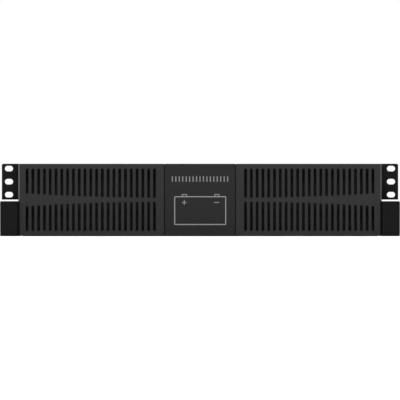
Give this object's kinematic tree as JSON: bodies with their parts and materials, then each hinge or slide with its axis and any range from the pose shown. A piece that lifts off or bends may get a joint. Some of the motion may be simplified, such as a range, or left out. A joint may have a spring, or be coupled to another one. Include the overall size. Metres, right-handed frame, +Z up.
{
  "type": "rack ups battery pack",
  "caption": "Low rack-mount battery pack for an uninterruptible power supply: steel case, slotted plastic bezel, rack ears with pull handles, DC sockets and breaker at the rear.",
  "frame": {"origin": "under the middle of the whole pack, on the surface that it stands on", "axes": "+X to the right seen from the front, -Y out of the slotted front, +Z up"},
  "size_m": [0.4864, 0.455, 0.0881],
  "materials": {
    "case_paint": "black textured powder coat on folded steel",
    "ear_paint": "black powder coat",
    "bezel_plastic": "charcoal moulded plastic with a fine grain",
    "panel_plastic": "charcoal moulded plastic with a smoother face",
    "handle_plastic": "black moulded plastic",
    "black_screw": "black oxide steel",
    "zinc_screw": "zinc plated steel",
    "battery_case": "dark grey battery case",
    "black_wire": "black insulation",
    "red_wire": "red insulation",
    "copper": "tinned and bare copper",
    "connector_plastic": "grey glass-filled plastic",
    "breaker_plastic": "black moulded plastic",
    "toggle_plastic": "black glossy plastic",
    "fuse_ceramic": "white ceramic cartridge",
    "holder_plastic": "black moulded plastic",
    "earth_brass": "plain brass"
  },
  "bodies": {
    "pack": {"battery_left_1": "battery_case", "battery_left_2": "battery_case", "battery_left_3": "battery_case", "battery_left_4": "battery_case", "battery_right_1": "battery_case", "battery_right_2": "battery_case", "battery_right_3": "battery_case", "battery_right_4": "battery_case", "bezel_left": "bezel_plastic", "bezel_right": "bezel_plastic", "breaker_body": "breaker_plastic", "busbar_negative": "copper", "busbar_positive": "copper", "centre_panel": "panel_plastic", "chassis_base": "case_paint", "connector_contacts": "copper", "cover": "case_paint", "cover_screws": "black_screw", "ear_left": "ear_paint", "ear_right": "ear_paint", "ear_screws": "black_screw", "earth_screw": "earth_brass", "earth_washer": "earth_brass", "fitting_screws": "zinc_screw", "front_rail": "case_paint", "fuse": "fuse_ceramic", "fuse_holder": "holder_plastic", "fuse_lead": "red_wire", "handle_left": "handle_plastic", "handle_right": "handle_plastic", "handle_screws": "black_screw", "lid_screws": "zinc_screw", "link_left_inner": "black_wire", "link_left_outer": "black_wire", "link_left_rear": "black_wire", "link_right_inner": "black_wire", "link_right_outer": "black_wire", "link_right_rear": "black_wire", "load_lead_negative": "black_wire", "load_lead_positive": "red_wire", "middle_lead": "black_wire", "negative_lead": "black_wire", "output_connector_1": "connector_plastic", "output_connector_2": "connector_plastic", "positive_lead": "red_wire", "rear_panel": "case_paint", "tray_left": "case_paint", "tray_lid_left": "case_paint", "tray_lid_right": "case_paint", "tray_right": "case_paint", "tray_screws": "black_screw"},
    "toggle": {"breaker_toggle": "toggle_plastic"}
  },
  "joints": [
    {"name": "breaker_switch", "type": "hinge", "parent": "pack", "child": "toggle", "pos_m": [0.15, 0.2135, 0.04375], "axis": [1, 0, 0], "range_deg": [0, 40]}
  ]
}
